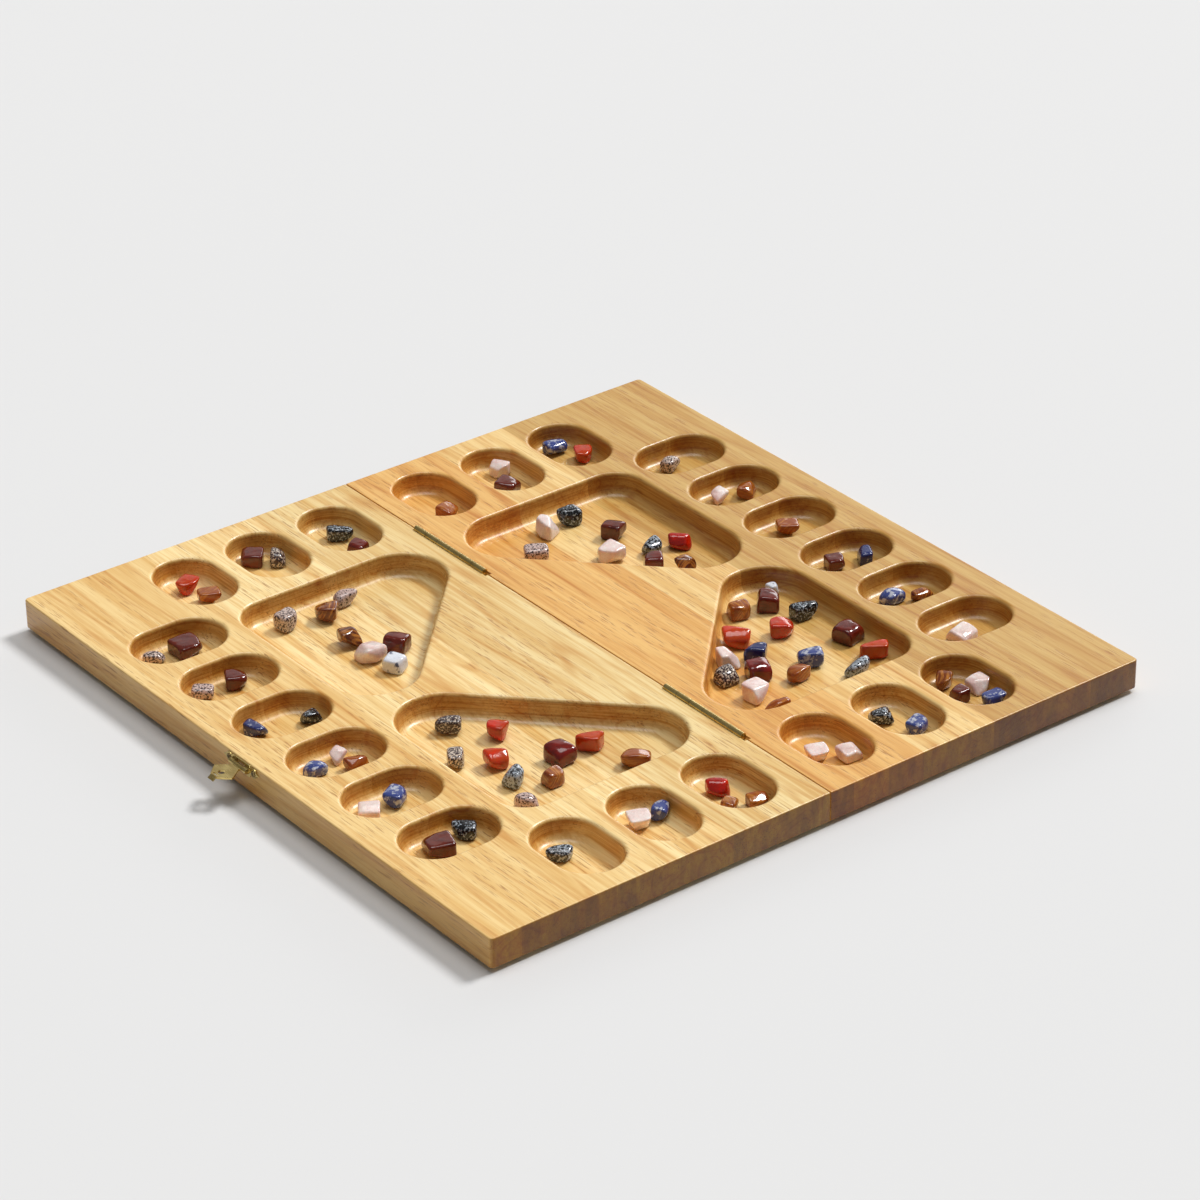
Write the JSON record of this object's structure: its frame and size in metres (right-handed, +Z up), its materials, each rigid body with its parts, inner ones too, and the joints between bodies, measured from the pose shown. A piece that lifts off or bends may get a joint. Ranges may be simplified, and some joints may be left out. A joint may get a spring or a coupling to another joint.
{
  "type": "folding four player mancala board",
  "caption": "Wooden game box that hinges open into a flat square board with oval pits round the edge, corner-shaped stores, gemstone pieces and a brass clasp.",
  "frame": {"origin": "on the table, under the middle of the open board's overall length and width", "axes": "+X across the seam from the lid board to the base board, +Y along the seam and the hinge pins, +Z up out of the playing face"},
  "size_m": [0.4436, 0.42, 0.0217],
  "materials": {
    "antique_brass": "antique satin",
    "black_rubber": "matte",
    "bright_brass": "polished",
    "carnelian": "polished stone",
    "howlite": "polished stone",
    "jasper": "polished stone",
    "orange_rubberwood": "satin lacquer",
    "pale_rubberwood": "satin lacquer",
    "rose_quartz": "polished stone",
    "snowflake": "polished stone",
    "sodalite": "polished stone",
    "speckled": "polished stone",
    "tiger_eye": "polished stone"
  },
  "bodies": {
    "base": {"base_board": "orange_rubberwood", "base_carnelian_stones": "carnelian", "base_feet": "black_rubber", "base_howlite_stones": "howlite", "base_jasper_stones": "jasper", "base_rose_quartz_stones": "rose_quartz", "base_snowflake_stones": "snowflake", "base_sodalite_stones": "sodalite", "base_speckled_stones": "speckled", "base_tiger_eye_stones": "tiger_eye", "catch_plate": "antique_brass", "catch_stud": "bright_brass", "far_hinge_base_plate": "antique_brass", "far_hinge_pin": "bright_brass", "near_hinge_base_plate": "antique_brass", "near_hinge_pin": "bright_brass"},
    "lid": {"clasp_pin": "bright_brass", "clasp_plate": "antique_brass", "far_hinge_lid_plate": "antique_brass", "lid_board": "pale_rubberwood", "lid_carnelian_stones": "carnelian", "lid_feet": "black_rubber", "lid_howlite_stones": "howlite", "lid_jasper_stones": "jasper", "lid_rose_quartz_stones": "rose_quartz", "lid_snowflake_stones": "snowflake", "lid_sodalite_stones": "sodalite", "lid_speckled_stones": "speckled", "lid_tiger_eye_stones": "tiger_eye", "near_hinge_lid_plate": "antique_brass"},
    "flap": {"clasp_flap": "antique_brass"}
  },
  "joints": [
    {"name": "fold", "type": "hinge", "parent": "base", "child": "lid", "pos_m": [0.00783, 0, 0.0198], "axis": [0, 1, 0], "range_deg": [0, 180]},
    {"name": "clasp_swing", "type": "hinge", "parent": "lid", "child": "flap", "pos_m": [-0.20447, 0, 0.0159], "axis": [0, 1, 0], "range_deg": [-90, 90]}
  ]
}
